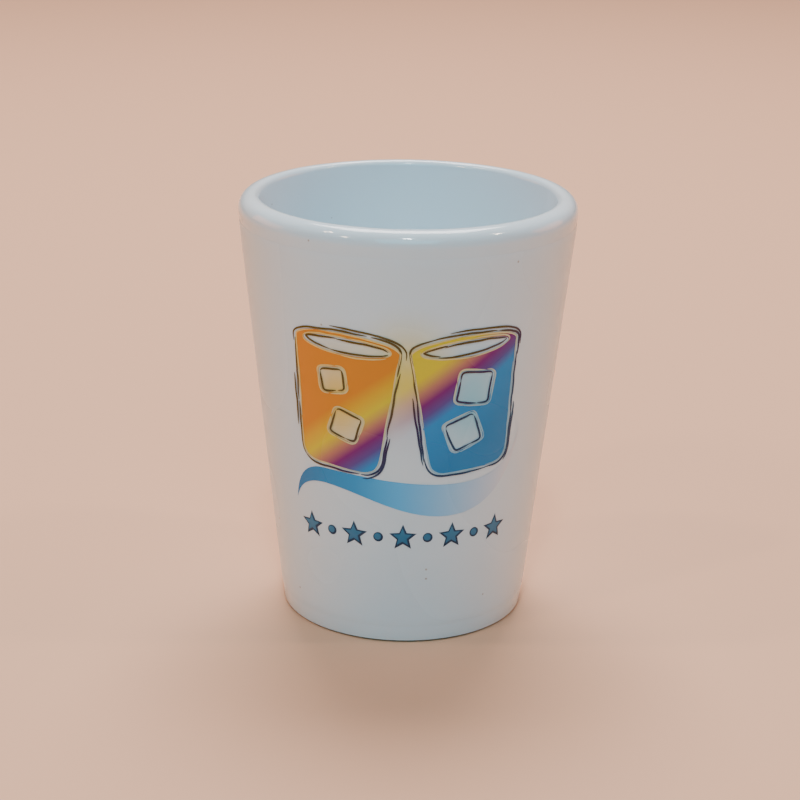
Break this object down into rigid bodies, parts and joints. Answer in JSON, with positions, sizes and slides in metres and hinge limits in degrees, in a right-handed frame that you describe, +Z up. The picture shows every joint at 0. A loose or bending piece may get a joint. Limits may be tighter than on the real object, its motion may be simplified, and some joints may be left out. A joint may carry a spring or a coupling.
{
  "type": "shot glass",
  "caption": "Straight-sided tapered ceramic shot glass with a rolled lip and a recessed foot, glazed inside and out, with a printed picture on the front of its wall.",
  "frame": {"origin": "centre of the foot ring's underside, where the glass stands", "axes": "+Z up along the axis of the glass, -Y towards the front that carries the printed picture, +X to the right seen from the front"},
  "size_m": [0.0468, 0.0468, 0.06],
  "materials": {
    "fired_clay": "bare, matt, fine grained",
    "white_glaze": "glossy, slightly uneven",
    "print_coat": "clear gloss coat over the glaze",
    "warm_ink": "gloss, orange to yellow to purple in diagonal bands",
    "cool_ink": "gloss, yellow to purple to blue in diagonal bands",
    "sky_ink": "gloss, fading to pale grey blue",
    "navy_ink": "gloss, embossed look, dark edge and lighter middle"
  },
  "bodies": {
    "root": {"clay_body": "fired_clay", "bowl_glaze": "white_glaze", "recess_glaze": "white_glaze", "print_coat": "print_coat", "ink_left_tumbler": "warm_ink", "ink_right_tumbler": "cool_ink", "ink_wave": "sky_ink", "ink_star_1": "navy_ink", "ink_star_2": "navy_ink", "ink_star_3": "navy_ink", "ink_star_4": "navy_ink", "ink_star_5": "navy_ink", "ink_dot_1": "navy_ink", "ink_dot_2": "navy_ink", "ink_dot_3": "navy_ink", "ink_dot_4": "navy_ink"}
  },
  "joints": []
}
